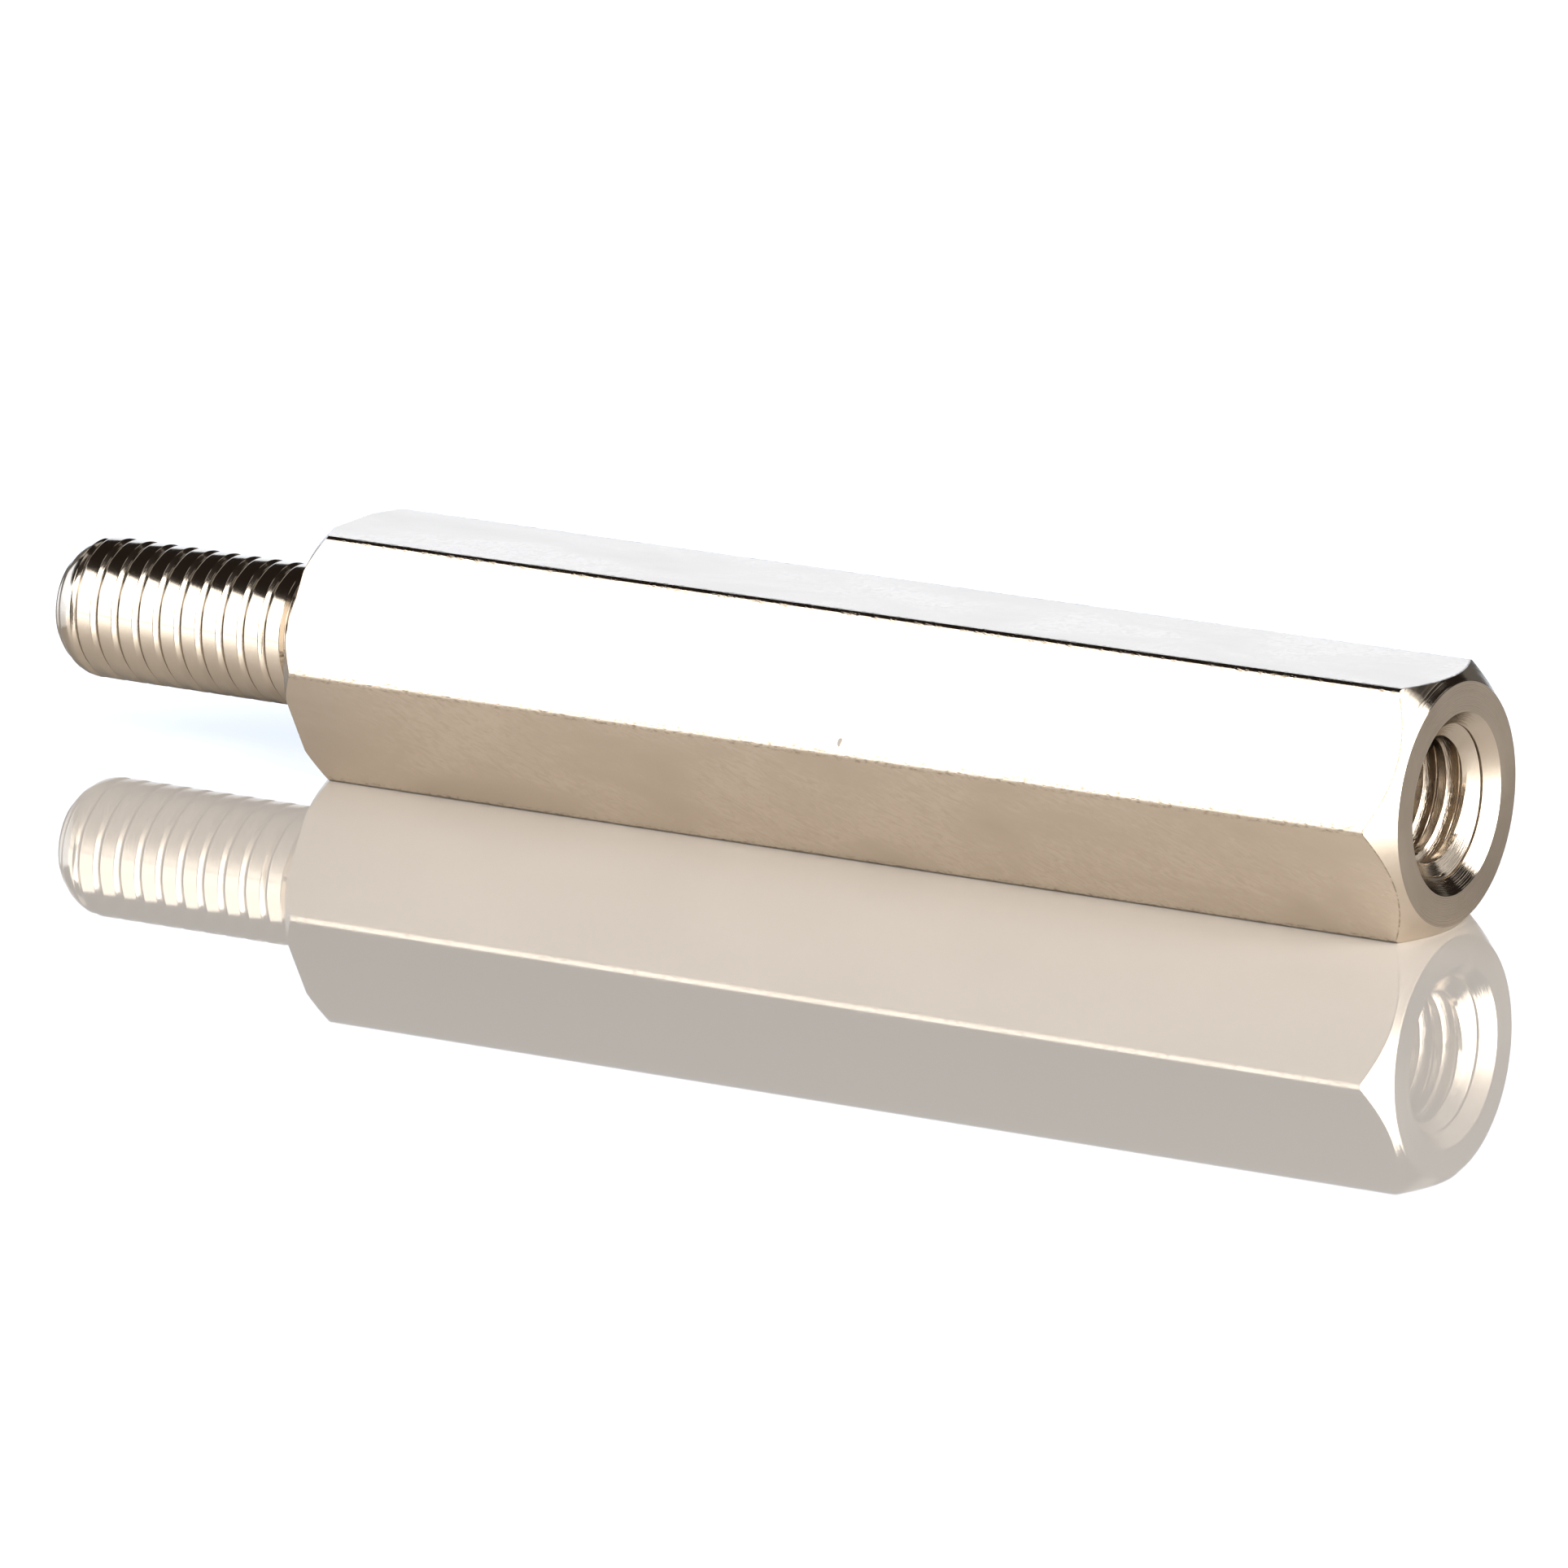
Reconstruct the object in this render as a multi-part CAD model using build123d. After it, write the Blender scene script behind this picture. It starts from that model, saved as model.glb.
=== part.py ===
from build123d import *

import os
from math import radians, sqrt, tan

# A male-female hexagonal spacer, turned in one piece from drawn hexagonal brass bar.
# Sizes are in millimetres. It lies along X on one flat: the stud points to -X, the
# tapped hole opens to +X, and Z is up. The origin is under the middle of its length.

# Hexagonal bar
BODY_ACROSS_FLATS = 7.0
BODY_LENGTH = 35.0
BAR_CORNER_RADIUS = 0.2

# Thread size shared by the stud and the tapped hole, both right-hand
THREAD_DIAMETER = 4.0
THREAD_PITCH = 0.7

# Stud, from the shoulder to its tip, at the thread's outer diameter
STUD_LENGTH = 9.0
STUD_TIP_DIAMETER = 3.0
STUD_TIP_ANGLE = 45.0

# Tapped hole: a drilled hole of tapping size that keeps its drill point
BORE_DEPTH = 12.0
DRILL_POINT_ANGLE = 118.0
COUNTERSINK_DIAMETER = 5.0
COUNTERSINK_ANGLE = 90.0

# Cones turned over the bar's corners. Each angle is between the cone and the axis.
# At the tapped end the cone leaves a round face. At the shoulder its circle is wider
# than the flats, so only the corners are cut.
END_FACE_DIAMETER = 6.66
END_CHAMFER_ANGLE = 45.0
SHOULDER_DIAMETER = 7.25
SHOULDER_CHAMFER_ANGLE = 42.0

# Sizes that follow from those above
BORE_DIAMETER = THREAD_DIAMETER - THREAD_PITCH
AXIS_HEIGHT = BODY_ACROSS_FLATS / 2
CORNER_REACH = BODY_ACROSS_FLATS / sqrt(3)
SHOULDER_X = (STUD_LENGTH - BODY_LENGTH) / 2
END_FACE_X = SHOULDER_X + BODY_LENGTH
STUD_TIP_X = SHOULDER_X - STUD_LENGTH


def cone_run(from_diameter, to_diameter, angle_to_axis):
    """Length along the axis in which a cone goes from one diameter to the other."""
    return (to_diameter - from_diameter) / 2 / tan(radians(angle_to_axis))


def turned(profile_points):
    """Solid of revolution about X from (x, radius) points that start and end on the axis."""
    outline = Polyline(*profile_points, close=True)
    section = make_face(Plane.XZ * outline)
    return revolve(section, axis=Axis.X)


def hexagonal_bar():
    """The drawn bar, from the shoulder to the end face, with a flat facing down."""
    hexagon = RegularPolygon(radius=BODY_ACROSS_FLATS / 2, side_count=6, major_radius=False)
    hexagon = fillet(hexagon.vertices(), radius=BAR_CORNER_RADIUS)
    bar_plane = Plane.YZ.offset(SHOULDER_X)
    return extrude(bar_plane * hexagon, amount=BODY_LENGTH)


def corner_envelope():
    """What the two cones leave of a round bar that is wider than the hexagon's corners."""
    clear_diameter = 2 * CORNER_REACH + BAR_CORNER_RADIUS
    shoulder_run = cone_run(SHOULDER_DIAMETER, clear_diameter, SHOULDER_CHAMFER_ANGLE)
    end_run = cone_run(END_FACE_DIAMETER, clear_diameter, END_CHAMFER_ANGLE)
    return turned([
        (SHOULDER_X, 0),
        (SHOULDER_X, SHOULDER_DIAMETER / 2),
        (SHOULDER_X + shoulder_run, clear_diameter / 2),
        (END_FACE_X - end_run, clear_diameter / 2),
        (END_FACE_X, END_FACE_DIAMETER / 2),
        (END_FACE_X, 0),
    ])


def stud():
    """The stud with its tip cone, from the tip to the shoulder."""
    tip_run = cone_run(STUD_TIP_DIAMETER, THREAD_DIAMETER, STUD_TIP_ANGLE)
    return turned([
        (STUD_TIP_X, 0),
        (STUD_TIP_X, STUD_TIP_DIAMETER / 2),
        (STUD_TIP_X + tip_run, THREAD_DIAMETER / 2),
        (SHOULDER_X, THREAD_DIAMETER / 2),
        (SHOULDER_X, 0),
    ])


def tapped_hole():
    """The space that the drill and the countersink cut, up to the end face."""
    sink_run = cone_run(BORE_DIAMETER, COUNTERSINK_DIAMETER, COUNTERSINK_ANGLE / 2)
    point_run = cone_run(0, BORE_DIAMETER, DRILL_POINT_ANGLE / 2)
    return turned([
        (END_FACE_X - BORE_DEPTH - point_run, 0),
        (END_FACE_X - BORE_DEPTH, BORE_DIAMETER / 2),
        (END_FACE_X - sink_run, BORE_DIAMETER / 2),
        (END_FACE_X, COUNTERSINK_DIAMETER / 2),
        (END_FACE_X, 0),
    ])


def hex_standoff():
    """The whole piece, resting on its lower flat."""
    body = hexagonal_bar() & corner_envelope()
    piece = (body + stud()) - tapped_hole()
    return Pos(0, 0, AXIS_HEIGHT) * piece


os.makedirs("parts", exist_ok=True)
export_step(hex_standoff(), "parts/hex_standoff.step")
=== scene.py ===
"""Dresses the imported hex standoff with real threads, a nickel-plated finish and its studio.

The piece's classes hold their sizes in millimetres, in the frame of the CAD: X along the piece
with the stud towards -X, Z up, and the lower flat on the ground. The meshes, the studio and
the camera are in metres.
"""

from __future__ import annotations

import logging
import math
from dataclasses import dataclass, field
from enum import Enum, IntEnum

import bmesh
import bpy
from mathutils import Matrix, Vector

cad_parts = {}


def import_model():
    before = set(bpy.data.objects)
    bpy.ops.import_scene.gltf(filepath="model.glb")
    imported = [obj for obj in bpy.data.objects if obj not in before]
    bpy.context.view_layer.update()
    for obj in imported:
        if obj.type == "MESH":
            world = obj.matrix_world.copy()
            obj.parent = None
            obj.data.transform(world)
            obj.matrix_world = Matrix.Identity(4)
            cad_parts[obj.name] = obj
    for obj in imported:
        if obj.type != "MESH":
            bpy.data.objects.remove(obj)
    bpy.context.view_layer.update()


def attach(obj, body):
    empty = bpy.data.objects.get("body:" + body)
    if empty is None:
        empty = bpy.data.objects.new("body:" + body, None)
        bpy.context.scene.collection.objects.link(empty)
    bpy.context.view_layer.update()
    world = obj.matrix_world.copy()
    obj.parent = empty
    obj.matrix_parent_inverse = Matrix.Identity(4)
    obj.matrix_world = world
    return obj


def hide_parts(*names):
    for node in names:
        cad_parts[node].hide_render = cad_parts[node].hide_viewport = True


MM = 0.001
TAU = 2 * math.pi
CAD_NODE = "hex_standoff"
CAD_BODY = "root"
WELD = 2e-7
NEAR_PLANE = 2e-3
FULL_TURN = 360.0
NOISE_MIDDLE = 0.5

TIP_X = -22.0
SHOULDER_X = -13.0
END_X = 22.0
AXIS_HEIGHT = 3.5

log = logging.getLogger("hex_standoff")


class Surface(IntEnum):
    """The kinds of surface on the piece, numbered as its material slots."""

    BAR = 0
    TURNED = 1
    STUD_THREAD = 2
    HOLE_THREAD = 3


class Turn(Enum):
    """Which side of a thread holds the metal."""

    EXTERNAL = 1
    INTERNAL = -1


def eased(value: float, start: float, stop: float) -> float:
    """A smooth step.

    Args:
        value: Where the step is read.
        start: Where it leaves 0.
        stop: Where it reaches 1.

    Returns:
        A number from 0 to 1.
    """
    t = min(1.0, max(0.0, (value - start) / (stop - start)))
    return t * t * (3 - 2 * t)


def soft_least(first: float, second: float, blend: float) -> float:
    """The lesser of two numbers, rounded off where they meet.

    Args:
        first: One number.
        second: The other number.
        blend: How far apart they are where the rounding starts.

    Returns:
        The lesser number, or slightly less than it near the meeting point.
    """
    gap = second - first
    if gap > blend:
        return first
    if gap < -blend:
        return second
    return first - (blend - gap) ** 2 / (4 * blend)


def polar(vertex: bmesh.types.BMVert, axis_height: float) -> tuple[float, float, float]:
    """Where a vertex is round the piece's axis.

    Args:
        vertex: The vertex, in metres.
        axis_height: Height of the axis, in millimetres.

    Returns:
        Its x and radius in millimetres, and its angle from +Y towards +Z.
    """
    y, z = vertex.co.y / MM, vertex.co.z / MM - axis_height
    return vertex.co.x / MM, math.hypot(y, z), math.atan2(z, y)


def seat(
    vertex: bmesh.types.BMVert, x: float, radius: float, angle: float, axis_height: float
) -> None:
    """Puts a vertex at a place round the piece's axis.

    Args:
        vertex: The vertex to move.
        x: Place along the axis, in millimetres.
        radius: Distance from the axis, in millimetres.
        angle: Angle from +Y towards +Z.
        axis_height: Height of the axis, in millimetres.
    """
    vertex.co = Vector(
        (x, radius * math.cos(angle), axis_height + radius * math.sin(angle))
    ) * MM


def extruded_ring(
    bm: bmesh.types.BMesh, ring: list[bmesh.types.BMEdge]
) -> list[bmesh.types.BMEdge]:
    """Extrudes a closed ring of edges in place.

    Args:
        bm: The mesh that holds the ring.
        ring: Its edges.

    Returns:
        The new ring, ready to be moved.
    """
    made = bmesh.ops.extrude_edge_only(bm, edges=ring)["geom"]
    new_verts = {g for g in made if isinstance(g, bmesh.types.BMVert)}
    return [
        g
        for g in made
        if isinstance(g, bmesh.types.BMEdge) and all(v in new_verts for v in g.verts)
    ]


def ring_verts(ring: list[bmesh.types.BMEdge]) -> set[bmesh.types.BMVert]:
    """The vertices of a ring of edges."""
    return {v for e in ring for v in e.verts}


def settle(
    ring: list[bmesh.types.BMEdge], x: float, radius: float, axis_height: float
) -> None:
    """Seats a ring of edges on a true circle round the piece's axis.

    Args:
        ring: The ring's edges.
        x: Place along the axis, in millimetres.
        radius: The circle's radius.
        axis_height: Height of the axis.
    """
    for v in ring_verts(ring):
        _, _, angle = polar(v, axis_height)
        seat(v, x, radius, angle, axis_height)


def open_edges(bm: bmesh.types.BMesh, x: float) -> list[bmesh.types.BMEdge]:
    """Finds the open boundary that lies in one plane across the axis.

    Args:
        bm: The mesh to look in.
        x: The plane's place, in millimetres.

    Returns:
        The boundary's edges.
    """
    return [
        e
        for e in bm.edges
        if e.is_boundary and all(abs(v.co.x / MM - x) < NEAR_PLANE for v in e.verts)
    ]


@dataclass
class ThreadForm:
    """A thread's profile, seen as a wave of points over one pitch.

    Each side of the groove has its own slope against the axis and its own rounding at the
    crest, because plating and rolling don't leave both alike.
    """

    pitch: float = 0.7
    crest_radius: float = 2.0
    depth: float = 0.10
    back_slope: float = 43.0
    back_fillet: float = 0.04
    tip_slope: float = 38.0
    tip_fillet: float = 0.12
    root_fillet: float = 0.03
    arc_steps: int = 5
    turn: Turn = Turn.EXTERNAL

    def wave(self) -> list[tuple[float, float]]:
        """Lays the profile out from one crest's middle to just before the next.

        Returns:
            Places along the axis and drops below the crest, in millimetres.
        """
        back = self.side(self.back_slope, self.back_fillet)
        tip = self.side(self.tip_slope, self.tip_fillet)
        edge = (self.pitch - back[-1][0] - tip[-1][0]) / 2
        fall = [(edge + run, drop) for run, drop in back]
        rise = [(self.pitch - edge - run, drop) for run, drop in reversed(tip[:-1])]
        return [(0.0, 0.0)] + fall + rise

    def side(self, slope: float, fillet: float) -> list[tuple[float, float]]:
        """Rounds the crest's edge, runs down the flank and rounds into the root.

        Args:
            slope: The flank's angle with the axis, in degrees.
            fillet: Radius of the rounding at the crest.

        Returns:
            Distances from the crest's edge and drops.
        """
        steep = math.radians(slope)
        angles = [steep * step / self.arc_steps for step in range(self.arc_steps + 1)]
        root = self.root_fillet
        crest = [(fillet * math.sin(a), fillet * (1 - math.cos(a))) for a in angles]
        low = self.depth - root * (1 - math.cos(steep))
        foot = crest[-1][0] + max(0.0, low - crest[-1][1]) / math.tan(steep)
        middle = foot + root * math.sin(steep)
        trough = [
            (middle - root * math.sin(a), self.depth - root * (1 - math.cos(a)))
            for a in reversed(angles)
        ]
        return crest + trough

    def radius(self, drop: float) -> float:
        """Radius of the thread's surface at a drop below its crest."""
        return self.crest_radius - self.turn.value * drop


@dataclass
class Helix:
    """A thread's surface, screwed out of its profile along the axis."""

    form: ThreadForm
    start_x: float
    stop_x: float
    crest_x: float
    steps: int
    axis_height: float

    def sweep(self, bm: bmesh.types.BMesh) -> None:
        """Spins a profile of many pitches through one turn, and welds the turns together.

        Args:
            bm: The empty mesh that takes the surface.
        """
        pitch = self.form.pitch
        # The spin carries the line one pitch along, so the line starts early enough for that.
        first = math.floor((self.start_x - self.crest_x) / pitch) - 2
        last = math.ceil((self.stop_x - self.crest_x) / pitch) + 1
        line = []
        for turn in range(first, last + 1):
            for offset, drop in self.form.wave():
                x = self.crest_x + turn * pitch + offset
                co = Vector((x, self.form.radius(drop), self.axis_height)) * MM
                line.append(bm.verts.new(co))
        edges = [bm.edges.new(pair) for pair in zip(line, line[1:])]
        bmesh.ops.spin(
            bm,
            geom=line + edges,
            cent=Vector((0, 0, self.axis_height)) * MM,
            axis=(1, 0, 0),
            dvec=(pitch * MM / self.steps, 0, 0),
            angle=TAU,
            steps=self.steps,
        )
        bmesh.ops.remove_doubles(bm, verts=bm.verts[:], dist=WELD)

    def trim(self, bm: bmesh.types.BMesh) -> None:
        """Cuts the surface off square at its two ends.

        Args:
            bm: The mesh that holds the surface.
        """
        for x, way in ((self.start_x, -1), (self.stop_x, 1)):
            bmesh.ops.bisect_plane(
                bm,
                geom=bm.verts[:] + bm.edges[:] + bm.faces[:],
                dist=WELD,
                plane_co=(x * MM, 0, 0),
                plane_no=(way, 0, 0),
                clear_outer=True,
            )


@dataclass
class HexBar:
    """The hexagonal body with the cones turned over its corners.

    Each slope is the cone's change of radius over its run. `flat_share` tells the flats from
    the short edges of a rounded corner, and `corner_reach` picks the vertices of a corner.
    """

    across_flats: float = 7.0
    shoulder_x: float = SHOULDER_X
    end_x: float = END_X
    corner_radius: float = 0.2
    corner_steps: int = 8
    corner_reach: float = 1.02
    flat_share: float = 0.25
    flat_cuts: int = 23
    shoulder_radius: float = 3.625
    shoulder_slope: float = 0.9004
    end_radius: float = 3.33
    end_slope: float = 1.0
    axis_height: float = AXIS_HEIGHT

    def section(self, bm: bmesh.types.BMesh) -> list[bmesh.types.BMEdge]:
        """Draws the hexagon with its corners rounded and its flats divided.

        Args:
            bm: The mesh that takes the section.

        Returns:
            The section's ring of edges, at the shoulder.
        """
        reach = self.across_flats / math.sqrt(3)
        bmesh.ops.create_circle(bm, cap_ends=True, segments=6, radius=reach * MM)
        set_back = self.corner_radius * math.tan(math.radians(30))
        bmesh.ops.bevel(
            bm,
            geom=bm.verts[:],
            affect="VERTICES",
            offset=set_back * MM,
            segments=self.corner_steps,
            profile=0.5,
            material=-1,
        )
        least = self.across_flats * self.flat_share * MM
        flats = [e for e in bm.edges if e.calc_length() > least]
        bmesh.ops.subdivide_edges(bm, edges=flats, cuts=self.flat_cuts)
        bmesh.ops.delete(bm, geom=bm.faces[:], context="FACES_ONLY")
        lift = Matrix.Translation((self.shoulder_x * MM, 0, self.axis_height * MM))
        lay = Matrix.Rotation(math.radians(90), 4, "Y")
        bmesh.ops.transform(bm, matrix=lift @ lay, verts=bm.verts[:])
        for v in bm.verts:
            self.round_corner(v)
        return bm.edges[:]

    def round_corner(self, vertex: bmesh.types.BMVert) -> None:
        """Seats a vertex of a corner on the corner's true circle.

        Args:
            vertex: A vertex of the section.
        """
        x, _, angle = polar(vertex, self.axis_height)
        sector = math.radians(60)
        corner = round(angle / sector) * sector
        reach = (self.across_flats / 2 - self.corner_radius) / math.cos(sector / 2)
        centre = Vector(
            (x, reach * math.cos(corner), self.axis_height + reach * math.sin(corner))
        ) * MM
        away = vertex.co - centre
        if away.length < self.corner_radius * self.corner_reach * MM:
            vertex.co = centre + away.normalized() * self.corner_radius * MM

    def build(self, bm: bmesh.types.BMesh) -> None:
        """Extrudes the section from the shoulder's circle to the round end face.

        Args:
            bm: The empty mesh that takes the bar.
        """
        ring = self.section(bm)
        for v in ring_verts(ring):
            _, radius, _ = polar(v, self.axis_height)
            v.co.x = (self.shoulder_x + self.shoulder_run(radius)) * MM
        for v in ring_verts(extruded_ring(bm, ring)):
            _, radius, angle = polar(v, self.axis_height)
            radius = min(radius, self.shoulder_radius)
            seat(v, self.shoulder_x, radius, angle, self.axis_height)
        ring = extruded_ring(bm, ring)
        for v in ring_verts(ring):
            _, radius, angle = polar(v, self.axis_height)
            x = self.end_x - (radius - self.end_radius) / self.end_slope
            seat(v, x, radius, angle, self.axis_height)
        settle(extruded_ring(bm, ring), self.end_x, self.end_radius, self.axis_height)
        bmesh.ops.remove_doubles(bm, verts=bm.verts[:], dist=WELD)

    def shoulder_run(self, radius: float) -> float:
        """How far the shoulder's cone cuts along the bar at a radius, in millimetres."""
        return max(0.0, (radius - self.shoulder_radius) / self.shoulder_slope)


@dataclass
class ThreadedStud:
    """The stud: a rolled thread from its tip cone to the shoulder.

    The cone goes on for `past_tip` beyond the tip, so that the surface there can be cut off.
    The flat tip is closed by rings at `cap_shares` of its radius.
    """

    tip_x: float = TIP_X
    shoulder_x: float = SHOULDER_X
    tip_radius: float = 1.5
    tip_slope: float = 1.0
    tip_round: float = 0.44
    past_tip: float = 0.2
    cap_shares: tuple[float, ...] = (0.66, 0.33, 0.0)
    crest_x: float = -21.06
    steps: int = 120
    axis_height: float = AXIS_HEIGHT
    form: ThreadForm = field(default_factory=ThreadForm)

    def build(self, bm: bmesh.types.BMesh) -> None:
        """Screws the thread, turns its tip to a cone and closes the tip.

        Args:
            bm: The empty mesh that takes the stud.
        """
        helix = Helix(
            self.form, self.tip_x, self.shoulder_x, self.crest_x, self.steps, self.axis_height
        )
        helix.sweep(bm)
        for v in bm.verts:
            x, radius, angle = polar(v, self.axis_height)
            seat(v, x, self.under_cone(x, radius), angle, self.axis_height)
        helix.trim(bm)
        ring = open_edges(bm, self.tip_x)
        settle(ring, self.tip_x, self.tip_radius, self.axis_height)
        for share in self.cap_shares:
            ring = extruded_ring(bm, ring)
            settle(ring, self.tip_x, self.tip_radius * share, self.axis_height)
        bmesh.ops.remove_doubles(bm, verts=bm.verts[:], dist=WELD)

    def under_cone(self, x: float, radius: float) -> float:
        """Keeps a radius under the tip's cone, with a slight rounding where they meet.

        Args:
            x: Place along the axis, in millimetres.
            radius: Radius of the thread there.

        Returns:
            The radius that the turned tip leaves.
        """
        cone = self.tip_radius + max(-self.past_tip, x - self.tip_x) * self.tip_slope
        return soft_least(radius, cone, self.tip_round)


@dataclass
class TappedHole:
    """The tapped hole: countersink, narrow band, lead-in cone, thread and drill point."""

    end_x: float = END_X
    mouth_radius: float = 2.5
    sink_depth: float = 0.36
    band_radius: float = 2.14
    lead_depth: float = 0.44
    lead_slope: float = 1.88
    wall_radius: float = 1.65
    depth: float = 12.0
    point_slope: float = 1.664
    point_shares: tuple[float, ...] = (0.5, 0.0)
    crest_x: float = 21.34
    tapped_depth: float = 10.2
    fade: float = 1.2
    steps: int = 96
    axis_height: float = AXIS_HEIGHT
    edge_round: float = 0.02
    form: ThreadForm = field(
        default_factory=lambda: ThreadForm(
            crest_radius=1.70,
            depth=0.35,
            back_slope=60.0,
            back_fillet=0.03,
            tip_slope=60.0,
            tip_fillet=0.03,
            root_fillet=0.05,
            arc_steps=3,
            turn=Turn.INTERNAL,
        )
    )

    def build(self, bm: bmesh.types.BMesh) -> None:
        """Screws the thread inside the wall, opens the mouth and closes the drill point.

        Args:
            bm: The empty mesh that takes the hole.
        """
        floor_x = self.end_x - self.depth
        lead_x = self.end_x - self.lead_depth
        helix = Helix(self.form, floor_x, lead_x, self.crest_x, self.steps, self.axis_height)
        helix.sweep(bm)
        for v in bm.verts:
            x, radius, angle = polar(v, self.axis_height)
            seat(v, x, self.opened(x, radius), angle, self.axis_height)
        helix.trim(bm)
        ring = open_edges(bm, lead_x)
        settle(ring, lead_x, self.band_radius, self.axis_height)
        for x, radius in (
            (self.end_x - self.sink_depth, self.band_radius),
            (self.end_x, self.mouth_radius),
        ):
            ring = extruded_ring(bm, ring)
            settle(ring, x, radius, self.axis_height)
        ring = open_edges(bm, floor_x)
        settle(ring, floor_x, self.wall_radius, self.axis_height)
        for share in self.point_shares:
            ring = extruded_ring(bm, ring)
            radius = self.wall_radius * share
            x = floor_x - (self.wall_radius - radius) / self.point_slope
            settle(ring, x, radius, self.axis_height)
        bmesh.ops.remove_doubles(bm, verts=bm.verts[:], dist=WELD)

    def opened(self, x: float, radius: float) -> float:
        """Fades the thread out towards the bottom and cuts the lead-in cone.

        Args:
            x: Place along the axis, in millimetres.
            radius: Radius of the full thread there.

        Returns:
            The radius of the hole's surface.
        """
        bottom = self.end_x - self.tapped_depth
        share = eased(x, bottom, bottom + self.fade)
        radius = self.wall_radius + (radius - self.wall_radius) * share
        behind = self.end_x - self.lead_depth - x
        cone = self.band_radius - behind * self.lead_slope
        return -soft_least(-radius, -cone, self.edge_round)


@dataclass(frozen=True)
class Tint:
    """A linear colour."""

    red: float
    green: float
    blue: float

    def rgba(self) -> tuple[float, float, float, float]:
        """The colour with full alpha."""
        return (self.red, self.green, self.blue, 1.0)


LAMP_WHITE = Tint(1.0, 0.985, 0.96)


@dataclass(frozen=True)
class Marks:
    """How strongly one kind of surface shows the marks of its making.

    The heights are shares of `bump_distance`, which is in millimetres. `ring_scale` is the
    number of rings to a metre.
    """

    name: str
    roughness: float
    line_height: float = 0.0
    ripple_height: float = 0.0
    ring_height: float = 0.0
    ring_scale: float = 1.0
    wear: float = 0.0
    streaks: float = 0.0
    bump_distance: float = 0.02


@dataclass(frozen=True)
class Grain:
    """A noise that is stretched along turned axes.

    Its cells are in millimetres, its detail in octaves and its turn in radians.
    """

    cell: tuple[float, float, float]
    detail: float
    turn: tuple[float, float, float] = (0.0, 0.0, 0.0)
    distortion: float = 0.0


@dataclass(frozen=True)
class Plating:
    """The plating's tints, and the values of a noise at which each of them shows."""

    dull: Tint = Tint(0.565, 0.492, 0.405)
    dull_at: float = 0.3
    bright: Tint = Tint(0.665, 0.583, 0.490)
    bright_at: float = 0.72
    speck: Tint = Tint(0.23, 0.21, 0.19)
    speck_above: float = 0.83
    bruise: Tint = Tint(0.20, 0.155, 0.105)
    streaked: tuple[float, float] = (0.42, 0.66)
    cloud: Grain = Grain((5.0, 2.4, 2.4), 4.0, distortion=0.6)
    streaks: Grain = Grain((0.55, 0.30, 0.13), 4.0, (0.0, 0.50, 0.0), 1.6)
    dots: Grain = Grain((0.7, 0.7, 0.7), 1.0)


@dataclass(frozen=True)
class EdgeWear:
    """Where the bar's edges are bruised.

    `corner` is a ramp of the radius, and `cone` is one of the radius plus the place along the
    axis, both in metres. The other two are ramps of the noise `spots`.
    """

    corner: tuple[float, float] = (0.00393, 0.00400)
    cone: tuple[float, float] = (0.02526, 0.02531)
    bruised: tuple[float, float] = (0.46, 0.72)
    stained: tuple[float, float] = (0.30, 0.60)
    spots: Grain = Grain((0.16, 0.08, 0.08), 4.0)


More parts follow.
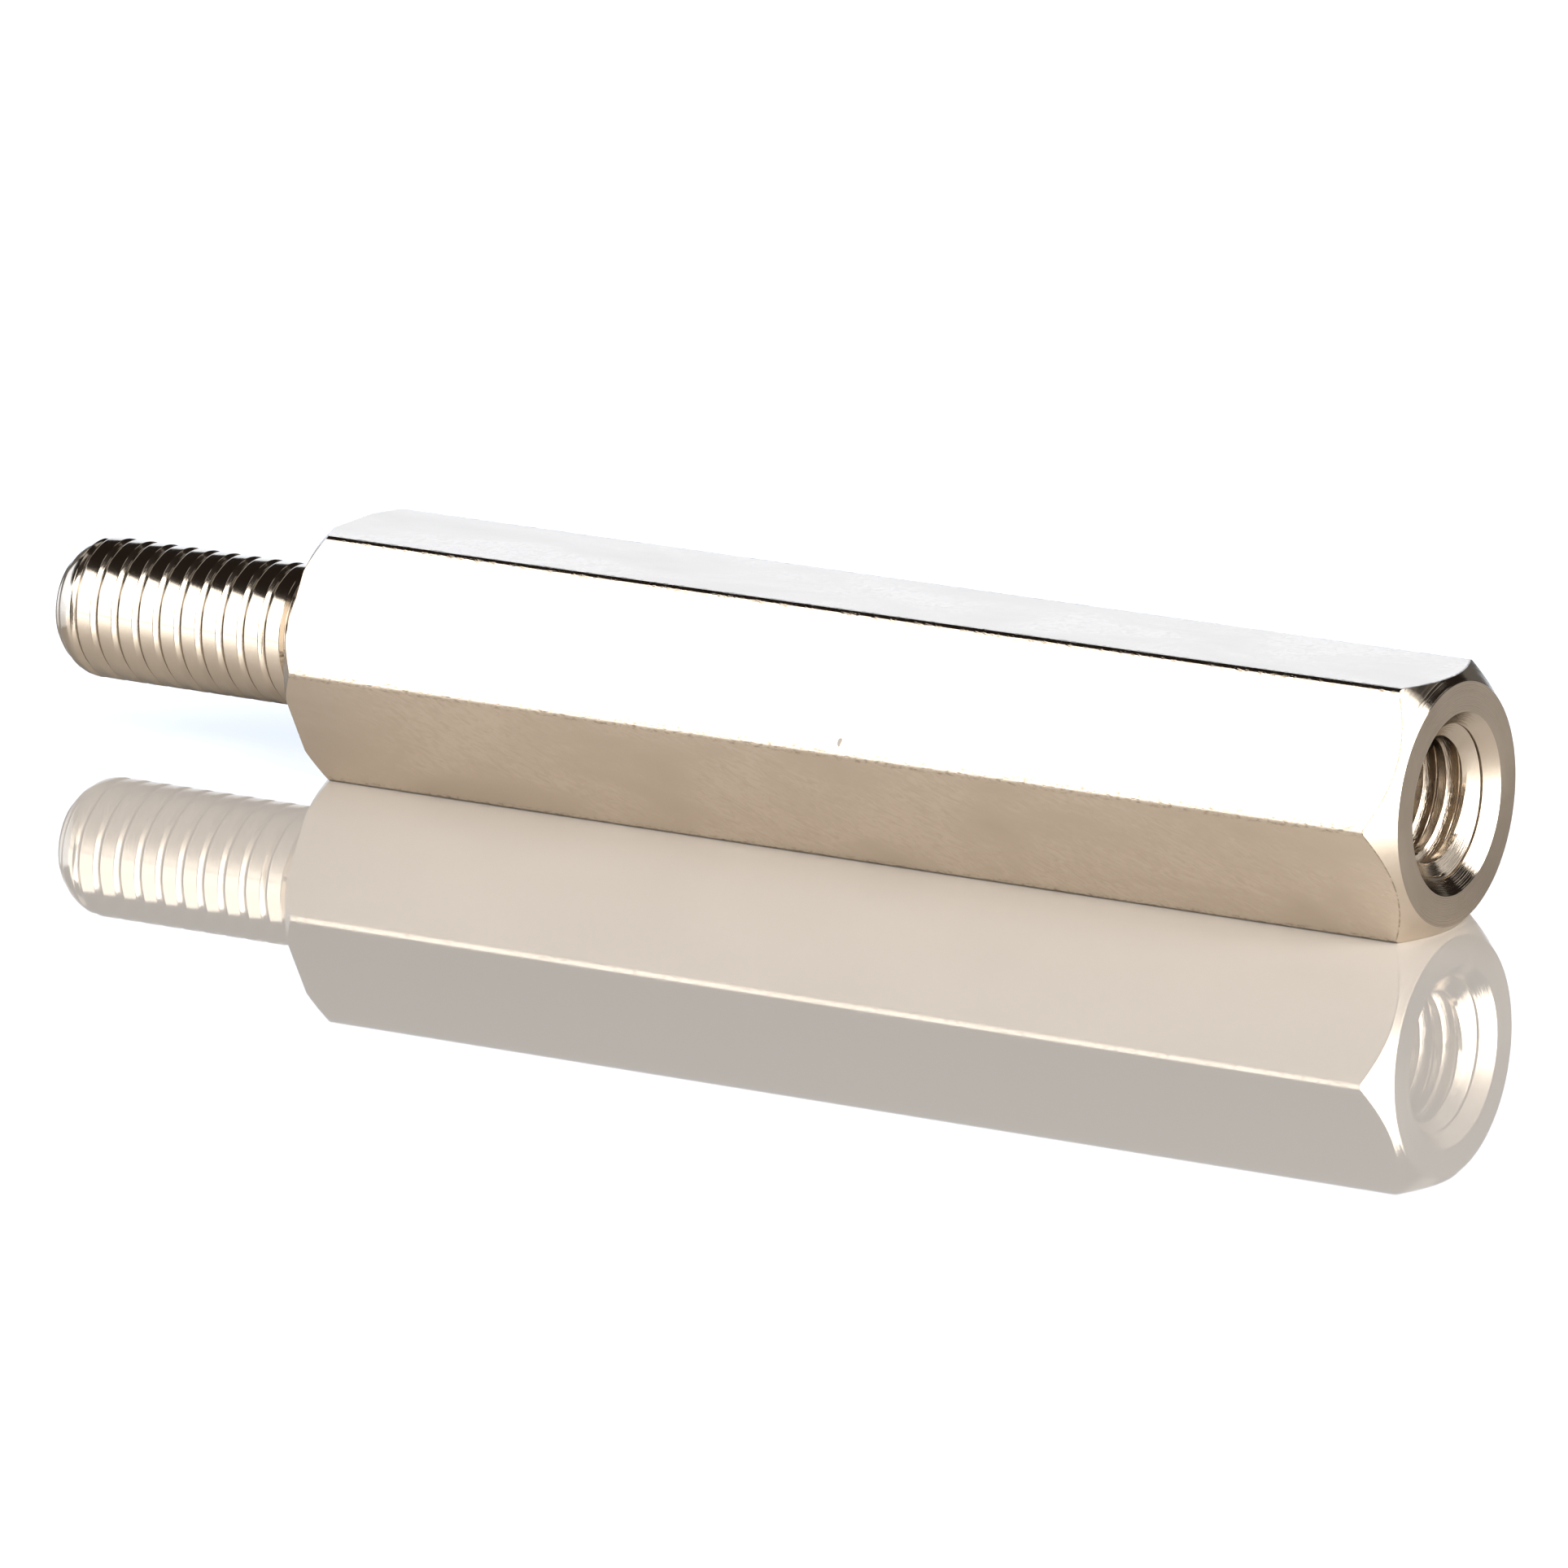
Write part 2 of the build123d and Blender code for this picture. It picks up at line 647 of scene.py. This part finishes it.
@dataclass
class SharedEffects:
    """Node groups that every nickel finish uses."""

    plating: Plating = Plating()
    edges: EdgeWear = EdgeWear()
    drawn_lines: Grain = Grain((3.8, 0.11, 0.11), 4.0)
    soft_ripple: Grain = Grain((1.6, 0.7, 0.4), 3.0, (0.0, 0.45, 0.0), 1.0)
    ring_detail: float = 3.0
    grain: bpy.types.NodeTree | None = None
    rings: bpy.types.NodeTree | None = None
    wear: bpy.types.NodeTree | None = None
    plate: bpy.types.NodeTree | None = None

    def build(self) -> None:
        """Makes each group once."""
        self.grain = self.drawn_grain()
        self.rings = self.turned_rings()
        self.wear = self.edge_wear()
        self.plate = self.plated_colour()

    @staticmethod
    def new_group(
        name: str, inputs: dict[str, float], outputs: dict[str, str]
    ) -> bpy.types.NodeTree:
        """Starts a shader node group.

        Args:
            name: Name of the group.
            inputs: Each number that it takes besides the place, with its usual value.
            outputs: Each value that it gives, with its socket type.

        Returns:
            The group with its sockets and its two end nodes.
        """
        tree = bpy.data.node_groups.new(name, "ShaderNodeTree")
        tree.interface.new_socket("Place", in_out="INPUT", socket_type="NodeSocketVector")
        for label, value in inputs.items():
            socket = tree.interface.new_socket(
                label, in_out="INPUT", socket_type="NodeSocketFloat"
            )
            socket.default_value = value
        for label, kind in outputs.items():
            tree.interface.new_socket(label, in_out="OUTPUT", socket_type=kind)
        tree.nodes.new("NodeGroupInput").name = "in"
        tree.nodes.new("NodeGroupOutput").name = "out"
        return tree

    @staticmethod
    def math_node(
        tree: bpy.types.NodeTree,
        kind: str,
        first: bpy.types.NodeSocket | float,
        second: bpy.types.NodeSocket | float | None = None,
    ) -> bpy.types.NodeSocket:
        """Adds a Math node.

        Args:
            tree: Where the node goes.
            kind: The operation's name.
            first: A socket or a number.
            second: A socket, a number or nothing.

        Returns:
            The node's output.
        """
        node = tree.nodes.new("ShaderNodeMath")
        node.operation = kind
        for slot, value in enumerate((first, second)):
            if isinstance(value, bpy.types.NodeSocket):
                tree.links.new(value, node.inputs[slot])
            elif value is not None:
                node.inputs[slot].default_value = value
        return node.outputs[0]

    @staticmethod
    def noise(
        tree: bpy.types.NodeTree, place: bpy.types.NodeSocket, grain: Grain
    ) -> bpy.types.NodeSocket:
        """Adds a noise.

        Args:
            tree: Where the nodes go.
            place: Object coordinates in metres.
            grain: The noise's shape.

        Returns:
            The noise's value.
        """
        mapping = tree.nodes.new("ShaderNodeMapping")
        mapping.vector_type = "TEXTURE"
        mapping.inputs["Scale"].default_value = Vector(grain.cell) * MM
        mapping.inputs["Rotation"].default_value = grain.turn
        cells = tree.nodes.new("ShaderNodeTexNoise")
        cells.inputs["Scale"].default_value = 1.0
        cells.inputs["Detail"].default_value = grain.detail
        cells.inputs["Distortion"].default_value = grain.distortion
        tree.links.new(place, mapping.inputs["Vector"])
        tree.links.new(mapping.outputs["Vector"], cells.inputs["Vector"])
        return cells.outputs["Fac"]

    def drawn_grain(self) -> bpy.types.NodeTree:
        """Fine lines and soft ripples from drawing and plating, and the dents of wear.

        Returns:
            A group that gives the height of them all.
        """
        tree = self.new_group(
            "drawn_grain",
            {"Lines": 1.0, "Ripples": 1.0, "Wear": 0.0, "Wear Depth": 0.30},
            {"Height": "NodeSocketFloat"},
        )
        source, out = tree.nodes["in"], tree.nodes["out"]
        place = source.outputs["Place"]
        lines = self.noise(tree, place, self.drawn_lines)
        ripple = self.noise(tree, place, self.soft_ripple)
        dents = self.math_node(
            tree, "MULTIPLY", source.outputs["Wear"], source.outputs["Wear Depth"]
        )
        total = self.math_node(
            tree,
            "ADD",
            self.math_node(tree, "MULTIPLY", lines, source.outputs["Lines"]),
            self.math_node(tree, "MULTIPLY", ripple, source.outputs["Ripples"]),
        )
        total = self.math_node(tree, "SUBTRACT", total, dents)
        tree.links.new(total, out.inputs["Height"])
        return tree

    def turned_rings(self) -> bpy.types.NodeTree:
        """Circles round the axis that a lathe tool leaves.

        Returns:
            A group that gives the height of the circles.
        """
        tree = self.new_group(
            "turned_rings",
            {"Amount": 1.0, "Axis Height": AXIS_HEIGHT * MM, "Scale": 1.0},
            {"Height": "NodeSocketFloat"},
        )
        source, out = tree.nodes["in"], tree.nodes["out"]
        along, radius = self.round_axis(tree)
        joined = tree.nodes.new("ShaderNodeCombineXYZ")
        for value, socket in ((radius, "X"), (along, "Y")):
            scaled = self.math_node(tree, "MULTIPLY", value, source.outputs["Scale"])
            tree.links.new(scaled, joined.inputs[socket])
        cells = tree.nodes.new("ShaderNodeTexNoise")
        cells.inputs["Scale"].default_value = 1.0
        cells.inputs["Detail"].default_value = self.ring_detail
        tree.links.new(joined.outputs[0], cells.inputs["Vector"])
        tree.links.new(
            self.math_node(tree, "MULTIPLY", cells.outputs["Fac"], source.outputs["Amount"]),
            out.inputs["Height"],
        )
        return tree

    def round_axis(
        self, tree: bpy.types.NodeTree
    ) -> tuple[bpy.types.NodeSocket, bpy.types.NodeSocket]:
        """Adds the nodes that find the place along the piece's axis and away from it.

        Args:
            tree: A group with the inputs Place and Axis Height.

        Returns:
            The place along the axis and the radius, in metres.
        """
        source = tree.nodes["in"]
        parts = tree.nodes.new("ShaderNodeSeparateXYZ")
        tree.links.new(source.outputs["Place"], parts.inputs[0])
        up = self.math_node(tree, "SUBTRACT", parts.outputs["Z"], source.outputs["Axis Height"])
        square = self.math_node(
            tree,
            "ADD",
            self.math_node(tree, "MULTIPLY", parts.outputs["Y"], parts.outputs["Y"]),
            self.math_node(tree, "MULTIPLY", up, up),
        )
        return parts.outputs["X"], self.math_node(tree, "SQRT", square)

    @staticmethod
    def ramped(
        tree: bpy.types.NodeTree, value: bpy.types.NodeSocket, start: float, stop: float
    ) -> bpy.types.NodeSocket:
        """Adds a smooth step from 0 to 1.

        Args:
            tree: Where the node goes.
            value: What is stepped.
            start: Where the step leaves 0.
            stop: Where it reaches 1.

        Returns:
            The step's output.
        """
        node = tree.nodes.new("ShaderNodeMapRange")
        node.interpolation_type = "SMOOTHSTEP"
        node.inputs["From Min"].default_value = start
        node.inputs["From Max"].default_value = stop
        tree.links.new(value, node.inputs["Value"])
        return node.outputs["Result"]

    def edge_wear(self) -> bpy.types.NodeTree:
        """Small bruises along the bar's corners and round the cone at the tapped end.

        Returns:
            A group that gives how bruised the surface is, from 0 to 1.
        """
        tree = self.new_group(
            "edge_wear",
            {"Axis Height": AXIS_HEIGHT * MM, "Amount": 1.0},
            {"Wear": "NodeSocketFloat"},
        )
        source, out = tree.nodes["in"], tree.nodes["out"]
        along, radius = self.round_axis(tree)
        corner = self.ramped(tree, radius, *self.edges.corner)
        lean = self.math_node(tree, "ADD", along, radius)
        cone = self.ramped(tree, lean, *self.edges.cone)
        spots = self.noise(tree, source.outputs["Place"], self.edges.spots)
        bruised = self.ramped(tree, spots, *self.edges.bruised)
        stained = self.ramped(tree, spots, *self.edges.stained)
        wear = self.math_node(
            tree,
            "MAXIMUM",
            self.math_node(tree, "MULTIPLY", corner, bruised),
            self.math_node(tree, "MULTIPLY", cone, stained),
        )
        tree.links.new(
            self.math_node(tree, "MULTIPLY", wear, source.outputs["Amount"]), out.inputs["Wear"]
        )
        return tree

    def plated_colour(self) -> bpy.types.NodeTree:
        """The plating's slight changes of tint and gloss, and its few grey specks.

        Returns:
            A group that gives the base colour and a value to add to the roughness.
        """
        tree = self.new_group(
            "plated_colour",
            {"Cloud": 1.0, "Streaks": 1.0, "Specks": 1.0, "Gloss Change": 0.03, "Wear": 0.0},
            {"Colour": "NodeSocketColor", "Roughness": "NodeSocketFloat"},
        )
        source, out = tree.nodes["in"], tree.nodes["out"]
        place = source.outputs["Place"]
        plating = self.plating
        cloud = self.noise(tree, place, plating.cloud)
        ramp = tree.nodes.new("ShaderNodeValToRGB")
        dull, bright = ramp.color_ramp.elements
        dull.position, dull.color = plating.dull_at, plating.dull.rgba()
        bright.position, bright.color = plating.bright_at, plating.bright.rgba()
        streaks = self.noise(tree, place, plating.streaks)
        streaks = self.math_node(tree, "SUBTRACT", streaks, NOISE_MIDDLE)
        patches = self.ramped(tree, cloud, *plating.streaked)
        streaks = self.math_node(tree, "MULTIPLY", streaks, patches)
        streaks = self.math_node(tree, "MULTIPLY", streaks, source.outputs["Streaks"])
        cloudy = self.math_node(tree, "MULTIPLY", cloud, source.outputs["Cloud"])
        tree.links.new(self.math_node(tree, "ADD", cloudy, streaks), ramp.inputs["Fac"])
        dots = self.noise(tree, place, plating.dots)
        speck = self.math_node(tree, "GREATER_THAN", dots, plating.speck_above)
        share = self.math_node(tree, "MULTIPLY", speck, source.outputs["Specks"])
        colour = ramp.outputs["Color"]
        for factor, tint in ((share, plating.speck), (source.outputs["Wear"], plating.bruise)):
            mix = tree.nodes.new("ShaderNodeMix")
            mix.data_type = "RGBA"
            mix.inputs["B"].default_value = tint.rgba()
            tree.links.new(factor, mix.inputs["Factor"])
            tree.links.new(colour, mix.inputs["A"])
            colour = mix.outputs["Result"]
        tree.links.new(colour, out.inputs["Colour"])
        tree.links.new(
            self.math_node(tree, "MULTIPLY", cloud, source.outputs["Gloss Change"]),
            out.inputs["Roughness"],
        )
        return tree


@dataclass(frozen=True)
class NickelFinish:
    """Bright nickel plate over one kind of machined surface."""

    marks: Marks
    axis_height: float = AXIS_HEIGHT
    edge_tint: Tint = Tint(0.72, 0.72, 0.72)

    def build(self, shared: SharedEffects) -> bpy.types.Material:
        """Makes the material.

        Args:
            shared: The node groups.

        Returns:
            The finished material.
        """
        material = bpy.data.materials.new(self.marks.name)
        material.use_nodes = True
        tree = material.node_tree
        shader = tree.nodes["Principled BSDF"]
        shader.inputs["Metallic"].default_value = 1.0
        shader.inputs["Specular Tint"].default_value = self.edge_tint.rgba()
        where = tree.nodes.new("ShaderNodeTexCoord").outputs["Object"]

        wear = self.placed(tree, shared.wear, where)
        wear.inputs["Axis Height"].default_value = self.axis_height * MM
        wear.inputs["Amount"].default_value = self.marks.wear
        plate = self.placed(tree, shared.plate, where)
        plate.inputs["Streaks"].default_value = self.marks.streaks
        tree.links.new(wear.outputs["Wear"], plate.inputs["Wear"])
        tree.links.new(plate.outputs["Colour"], shader.inputs["Base Color"])
        rough = SharedEffects.math_node(
            tree, "ADD", plate.outputs["Roughness"], self.marks.roughness
        )
        tree.links.new(rough, shader.inputs["Roughness"])

        grain = self.placed(tree, shared.grain, where)
        grain.inputs["Lines"].default_value = self.marks.line_height
        grain.inputs["Ripples"].default_value = self.marks.ripple_height
        tree.links.new(wear.outputs["Wear"], grain.inputs["Wear"])
        rings = self.placed(tree, shared.rings, where)
        rings.inputs["Amount"].default_value = self.marks.ring_height
        rings.inputs["Scale"].default_value = self.marks.ring_scale
        rings.inputs["Axis Height"].default_value = self.axis_height * MM
        bump = tree.nodes.new("ShaderNodeBump")
        bump.inputs["Strength"].default_value = 1.0
        bump.inputs["Distance"].default_value = self.marks.bump_distance * MM
        height = SharedEffects.math_node(
            tree, "ADD", grain.outputs["Height"], rings.outputs["Height"]
        )
        tree.links.new(height, bump.inputs["Height"])
        tree.links.new(bump.outputs["Normal"], shader.inputs["Normal"])
        return material

    @staticmethod
    def placed(
        tree: bpy.types.NodeTree, group: bpy.types.NodeTree, where: bpy.types.NodeSocket
    ) -> bpy.types.Node:
        """Places a shared group in a material.

        Args:
            tree: The material's nodes.
            group: The shared group.
            where: The socket with the place on the object.

        Returns:
            The group's node.
        """
        node = tree.nodes.new("ShaderNodeGroup")
        node.node_tree = group
        tree.links.new(where, node.inputs["Place"])
        return node


@dataclass
class Standoff:
    """The whole piece: bar, stud and tapped hole welded into one closed skin.

    A face of the bar is turned if its normal leans along the axis by more than `cone_lean`,
    and a face of the stud if its normal leans towards the tip by more than `tip_lean`.
    """

    bar: HexBar = field(default_factory=HexBar)
    stud: ThreadedStud = field(default_factory=ThreadedStud)
    hole: TappedHole = field(default_factory=TappedHole)
    crease_degrees: float = 24.0
    cone_lean: float = 0.2
    tip_lean: float = 0.9

    def build(self, finishes: list[bpy.types.Material]) -> bpy.types.Object:
        """Builds the skin and dresses it.

        Args:
            finishes: One material for each kind of surface, in their order.

        Returns:
            The piece, riding on the CAD's body in place of its node.
        """
        whole = bmesh.new()
        for part, surface in (
            (self.bar, Surface.BAR),
            (self.stud, Surface.STUD_THREAD),
            (self.hole, Surface.HOLE_THREAD),
        ):
            self.add(whole, part, surface)
        self.join(whole, self.bar.shoulder_x)
        self.join(whole, self.bar.end_x)
        bmesh.ops.dissolve_degenerate(whole, dist=WELD / 2, edges=whole.edges[:])
        bmesh.ops.recalc_face_normals(whole, faces=whole.faces[:])
        self.mark(whole)
        mesh = bpy.data.meshes.new("hex_standoff_skin")
        whole.to_mesh(mesh)
        loose = sum(1 for e in whole.edges if not e.is_manifold)
        log.info("skin: %d faces, %d open edges", len(whole.faces), loose)
        whole.free()
        for finish in finishes:
            mesh.materials.append(finish)
        piece = bpy.data.objects.new("threaded_standoff", mesh)
        bpy.context.scene.collection.objects.link(piece)
        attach(piece, CAD_BODY)
        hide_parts(CAD_NODE)
        return piece

    @staticmethod
    def add(
        whole: bmesh.types.BMesh, part: HexBar | ThreadedStud | TappedHole, surface: Surface
    ) -> None:
        """Builds a part by itself and adds it to the skin.

        Args:
            whole: The skin so far.
            part: The part to build.
            surface: The kind of surface that its faces get.
        """
        alone = bmesh.new()
        part.build(alone)
        for face in alone.faces:
            face.material_index = surface
        mesh = bpy.data.meshes.new("part")
        alone.to_mesh(mesh)
        alone.free()
        whole.from_mesh(mesh)
        bpy.data.meshes.remove(mesh)

    @staticmethod
    def join(whole: bmesh.types.BMesh, x: float) -> None:
        """Bridges the two open rings that lie in one plane across the axis.

        Args:
            whole: The skin so far.
            x: The plane's place, in millimetres.
        """
        ring = open_edges(whole, x)
        made = bmesh.ops.bridge_loops(whole, edges=ring)
        for face in made["faces"]:
            face.material_index = Surface.TURNED

    def mark(self, whole: bmesh.types.BMesh) -> None:
        """Gives the turned faces their finish, and shades every face with true creases.

        Args:
            whole: The finished skin.
        """
        for face in whole.faces:
            face.smooth = True
            kind, lean = face.material_index, face.normal.x
            if kind == Surface.BAR and abs(lean) > self.cone_lean:
                face.material_index = Surface.TURNED
            if kind == Surface.STUD_THREAD and lean < -self.tip_lean:
                face.material_index = Surface.TURNED
        crease = math.radians(self.crease_degrees)
        for edge in whole.edges:
            drawn = {f.material_index == Surface.BAR for f in edge.link_faces}
            if edge.calc_face_angle(0.0) > crease or len(drawn) == 2:
                edge.smooth = False


@dataclass
class Softbox:
    """A plain rectangular lamp that faces the piece, as bright as its radiance says."""

    name: str
    azimuth: float
    elevation: float
    distance: float
    width: float
    height: float
    radiance: float
    tint: Tint = LAMP_WHITE

    def build(self) -> bpy.types.Object:
        """Hangs the lamp.

        Returns:
            The lamp's object.
        """
        data = bpy.data.lights.new(self.name, "AREA")
        data.shape = "RECTANGLE"
        data.size = self.width
        data.size_y = self.height
        data.energy = self.radiance * math.pi * self.width * self.height
        data.color = (self.tint.red, self.tint.green, self.tint.blue)
        lamp = bpy.data.objects.new(self.name, data)
        a, e = math.radians(self.azimuth), math.radians(self.elevation)
        way = Vector((math.cos(a) * math.cos(e), math.sin(a) * math.cos(e), math.sin(e)))
        lamp.location = way * self.distance
        lamp.rotation_mode = "QUATERNION"
        lamp.rotation_quaternion = way.to_track_quat("Z", "Y")
        bpy.context.scene.collection.objects.link(lamp)
        return lamp


@dataclass
class Studio:
    """A glossy table, white cards behind it, a dim wall all round, and softboxes.

    The two softboxes and the cards are what the photograph's reflections show. The fills are
    weak, and light the flats that the photograph doesn't show.
    """

    table_reach: float = 3.0
    table_drop_mm: float = 0.002
    mirror_share: float = 0.44
    mirror_power: float = 3.5
    mirror_facing: float = 0.753
    mirror_most: float = 0.8
    mirror_roughness: float = 0.02
    table_tint: Tint = Tint(0.600, 0.567, 0.535)
    card_radius: float = 0.9
    card_spans: tuple[tuple[float, float], ...] = ((107.0, 136.0), (157.0, 203.0))
    strip_height: float = 0.335
    strip_full: float = 0.305
    card_strength: float = 1.70
    card_tint: Tint = Tint(1.0, 1.095, 1.25)
    wall_radius: float = 0.95
    wall_strength: float = 0.18
    wall_tint: Tint = Tint(1.0, 0.97, 0.93)
    room_tint: Tint = Tint(0.022, 0.0165, 0.0135)
    strip_steps: int = 24
    strip_degrees: float = 2.0
    softboxes: list[Softbox] = field(
        default_factory=lambda: [
            # Azimuth and elevation, distance, width and height, radiance.
            Softbox("softbox_left", -130, 27, 0.7, 0.81, 0.70, 2.7),
            Softbox("softbox_right", -15, 27, 0.7, 0.92, 0.70, 5.8),
            Softbox("fill_overhead", 0, 90, 1.4, 0.6, 0.6, 0.65),
            Softbox("fill_front", -86, 45, 0.85, 0.40, 0.38, 1.0),
            Softbox("fill_back_right", 38, 24, 0.85, 0.45, 0.28, 0.8),
            Softbox("fill_back_left", 146, 25, 0.85, 0.22, 0.20, 0.7),
            Softbox("fill_back", 88, 48, 0.85, 0.28, 0.24, 0.5),
        ]
    )

    def build(self) -> None:
        """Sets up the table, the cards and the wall, the lamps and the dim room."""
        self.table()
        self.wall()
        for softbox in self.softboxes:
            softbox.build()
        self.room()
        log.info("studio: %d lamps", len(self.softboxes))

    @staticmethod
    def staged(
        name: str, bm: bmesh.types.BMesh, material: bpy.types.Material
    ) -> bpy.types.Object:
        """Makes a piece of the studio from its mesh.

        Args:
            name: Name of the object.
            bm: Its mesh, which is used up.
            material: Its material.

        Returns:
            The object, marked as not part of the piece.
        """
        mesh = bpy.data.meshes.new(name)
        bm.to_mesh(mesh)
        bm.free()
        mesh.materials.append(material)
        thing = bpy.data.objects.new(name, mesh)
        bpy.context.scene.collection.objects.link(thing)
        return thing

    def table(self) -> None:
        """Lays the table, which mirrors more the flatter one looks at it."""
        bm = bmesh.new()
        bmesh.ops.create_grid(bm, x_segments=1, y_segments=1, size=self.table_reach)
        drop = Matrix.Translation((0, 0, -self.table_drop_mm * MM))
        bmesh.ops.transform(bm, matrix=drop, verts=bm.verts[:])
        self.staged("table", bm, self.table_finish())

    def table_finish(self) -> bpy.types.Material:
        """Glossy white acrylic.

        Its mirror has the share `mirror_share` where the facing value is `mirror_facing`, as
        it is in the photograph's view. From there it goes up to `mirror_most` at most.

        Returns:
            The table's material.
        """
        material = bpy.data.materials.new("table_acrylic")
        material.use_nodes = True
        tree = material.node_tree
        tree.nodes.clear()
        plain = tree.nodes.new("ShaderNodeBsdfDiffuse")
        plain.inputs["Color"].default_value = self.table_tint.rgba()
        mirror = tree.nodes.new("ShaderNodeBsdfGlossy")
        mirror.inputs["Roughness"].default_value = self.mirror_roughness
        mirror.inputs["Color"].default_value = Tint(1, 1, 1).rgba()
        facing = tree.nodes.new("ShaderNodeLayerWeight")
        facing.inputs["Blend"].default_value = 0.5
        share = facing.outputs["Facing"]
        for kind, value in (
            ("DIVIDE", self.mirror_facing),
            ("POWER", self.mirror_power),
            ("MULTIPLY", self.mirror_share),
            ("MINIMUM", self.mirror_most),
        ):
            share = SharedEffects.math_node(tree, kind, share, value)
        mix = tree.nodes.new("ShaderNodeMixShader")
        out = tree.nodes.new("ShaderNodeOutputMaterial")
        tree.links.new(share, mix.inputs["Fac"])
        tree.links.new(plain.outputs[0], mix.inputs[1])
        tree.links.new(mirror.outputs[0], mix.inputs[2])
        tree.links.new(mix.outputs[0], out.inputs["Surface"])
        return material

    def wall(self) -> None:
        """Stands white cards behind the piece and beside its stud, and a dim wall round all."""
        white = self.glow_finish("card_white", self.card_tint, self.card_strength)
        for number, (start, stop) in enumerate(self.card_spans, 1):
            strip = self.bent_strip(self.card_radius, start, stop)
            self.staged(f"white_card_{number}", strip, white)
        dim = self.glow_finish("wall_dim", self.wall_tint, self.wall_strength)
        self.staged("round_wall", self.bent_strip(self.wall_radius, 0.0, FULL_TURN), dim)

    def bent_strip(self, radius: float, start: float, stop: float) -> bmesh.types.BMesh:
        """Bends an upright strip round the piece.

        Args:
            radius: Its distance, in metres.
            start: Azimuth of its first end, in degrees.
            stop: Azimuth of its other end.

        Returns:
            The strip's mesh.
        """
        bm = bmesh.new()
        turn = math.radians(start)
        foot = Vector((math.cos(turn), math.sin(turn), 0)) * radius
        low = bm.verts.new(foot)
        high = bm.verts.new(foot + Vector((0, 0, self.strip_height)))
        edge = bm.edges.new((low, high))
        bmesh.ops.spin(
            bm,
            geom=[low, high, edge],
            cent=(0, 0, 0),
            axis=(0, 0, 1),
            angle=math.radians(stop - start),
            steps=max(self.strip_steps, round((stop - start) / self.strip_degrees)),
        )
        return bm

    def glow_finish(self, name: str, tint: Tint, strength: float) -> bpy.types.Material:
        """An even glow that fades out towards a strip's top.

        Args:
            name: Name of the material.
            tint: The glow's colour.
            strength: How bright it is below the fade.

        Returns:
            The strip's material.
        """
        material = bpy.data.materials.new(name)
        material.use_nodes = True
        tree = material.node_tree
        tree.nodes.clear()
        place = tree.nodes.new("ShaderNodeTexCoord").outputs["Object"]
        parts = tree.nodes.new("ShaderNodeSeparateXYZ")
        tree.links.new(place, parts.inputs[0])
        fade = tree.nodes.new("ShaderNodeMapRange")
        fade.interpolation_type = "SMOOTHSTEP"
        fade.inputs["From Min"].default_value = self.strip_full
        fade.inputs["From Max"].default_value = self.strip_height
        fade.inputs["To Min"].default_value = strength
        fade.inputs["To Max"].default_value = 0.0
        glow = tree.nodes.new("ShaderNodeEmission")
        glow.inputs["Color"].default_value = tint.rgba()
        out = tree.nodes.new("ShaderNodeOutputMaterial")
        tree.links.new(parts.outputs["Z"], fade.inputs["Value"])
        tree.links.new(fade.outputs["Result"], glow.inputs["Strength"])
        tree.links.new(glow.outputs[0], out.inputs["Surface"])
        return material

    def room(self) -> None:
        """Makes the room round the studio dim."""
        world = bpy.data.worlds.new("room")
        bpy.context.scene.world = world
        world.use_nodes = True
        background = world.node_tree.nodes["Background"]
        background.inputs["Color"].default_value = self.room_tint.rgba()


@dataclass
class PhotoCamera:
    """The camera of the photograph, found by fitting the piece's edges."""

    place: tuple[float, float, float] = (0.198659, -0.331420, 0.099868)
    right: tuple[float, float, float] = (0.858595, 0.512650, 0.002173)
    up: tuple[float, float, float] = (-0.128720, 0.211475, 0.968870)
    back: tuple[float, float, float] = (0.496231, -0.832147, 0.247559)
    lens: float = 332.20
    sensor: float = 36.0

    def build(self) -> bpy.types.Object:
        """Puts the camera in the scene.

        Returns:
            The camera's object.
        """
        data = bpy.data.cameras.new("photo_camera")
        data.lens = self.lens
        data.sensor_width = self.sensor
        data.clip_start = 0.01
        data.clip_end = 10.0
        camera = bpy.data.objects.new("photo_camera", data)
        axes = Matrix((self.right, self.up, self.back)).transposed()
        camera.matrix_world = Matrix.Translation(self.place) @ axes.to_4x4()
        bpy.context.scene.collection.objects.link(camera)
        bpy.context.scene.camera = camera
        return camera


def nickel_finishes() -> list[bpy.types.Material]:
    """Makes the piece's materials.

    Returns:
        One material for each kind of surface, in their order.
    """
    shared = SharedEffects()
    shared.build()
    marks = {
        Surface.BAR: Marks(
            "nickel_on_drawn_bar", roughness=0.10, line_height=0.02, ripple_height=0.015,
            wear=0.7, streaks=1.2,
        ),
        Surface.TURNED: Marks(
            "nickel_on_turned_face", roughness=0.10, ripple_height=0.12, ring_height=0.30,
            ring_scale=40000,
        ),
        Surface.STUD_THREAD: Marks(
            "nickel_on_stud", roughness=0.11, ripple_height=0.08, ring_height=0.1,
            ring_scale=15000,
        ),
        Surface.HOLE_THREAD: Marks(
            "nickel_in_hole", roughness=0.10, ripple_height=0.02, ring_height=0.38,
            ring_scale=30000,
        ),
    }
    return [NickelFinish(marks[surface]).build(shared) for surface in Surface]


def main() -> None:
    """Builds the dressed piece, its studio and its camera."""
    logging.basicConfig(level=logging.INFO, format="%(name)s: %(message)s")
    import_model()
    piece = Standoff().build(nickel_finishes())
    log.info("piece: %s", piece.name)
    Studio().build()
    PhotoCamera().build()
    bpy.context.scene.view_settings.view_transform = "Standard"


if __name__ == "__main__":
    main()
